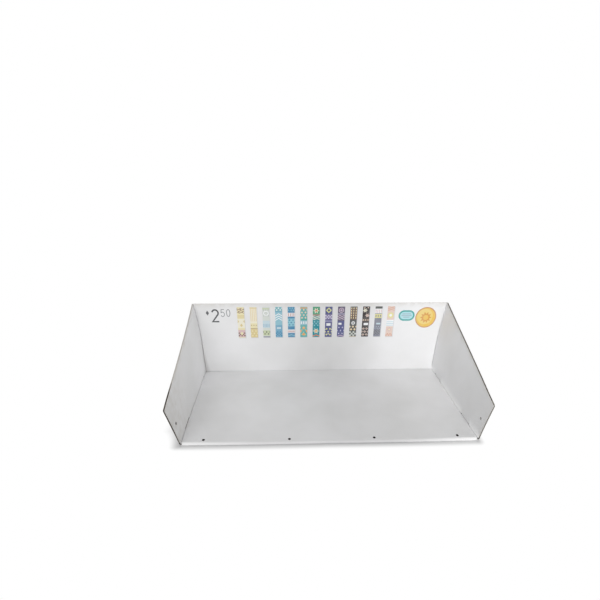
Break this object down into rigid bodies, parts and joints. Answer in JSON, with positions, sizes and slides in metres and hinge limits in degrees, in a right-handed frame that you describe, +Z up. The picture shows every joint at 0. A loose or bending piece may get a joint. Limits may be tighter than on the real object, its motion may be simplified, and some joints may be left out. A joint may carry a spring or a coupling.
{
  "type": "cardboard display tray",
  "caption": "Wide shallow open-front display tray of folded white corrugated board, with sloping sides, a tall back, rivet holes along the front and print on the back.",
  "frame": {"origin": "middle of the underside, halfway between the rolled front edge and the back panel's outer face", "axes": "+Z up, +X to the right, the open front towards -Y"},
  "size_m": [0.6118, 0.3342, 0.1842],
  "materials": {
    "white_board": "white lined corrugated board, satin",
    "ink_strip_01": "pale yellow ink",
    "ink_strip_02": "cream ink",
    "ink_strip_03": "grey green ink",
    "ink_strip_04": "sky blue ink",
    "ink_strip_05": "bright blue ink",
    "ink_strip_06": "teal ink",
    "ink_strip_07": "deep teal ink",
    "ink_strip_08": "navy ink",
    "ink_strip_09": "plum ink",
    "ink_strip_10": "charcoal ink",
    "ink_strip_11": "black ink",
    "ink_strip_12": "slate ink",
    "ink_strip_13": "peach ink",
    "ink_badge_face": "yellow ink",
    "ink_badge_rim": "amber ink",
    "ink_pill": "teal ink"
  },
  "bodies": {
    "root": {"display_tray": "white_board", "print_strip_01": "ink_strip_01", "print_strip_02": "ink_strip_02", "print_strip_03": "ink_strip_03", "print_strip_04": "ink_strip_04", "print_strip_05": "ink_strip_05", "print_strip_06": "ink_strip_06", "print_strip_07": "ink_strip_07", "print_strip_08": "ink_strip_08", "print_strip_09": "ink_strip_09", "print_strip_10": "ink_strip_10", "print_strip_11": "ink_strip_11", "print_strip_12": "ink_strip_12", "print_strip_13": "ink_strip_13", "print_badge_face": "ink_badge_face", "print_badge_rim": "ink_badge_rim", "print_pill": "ink_pill"}
  },
  "joints": []
}
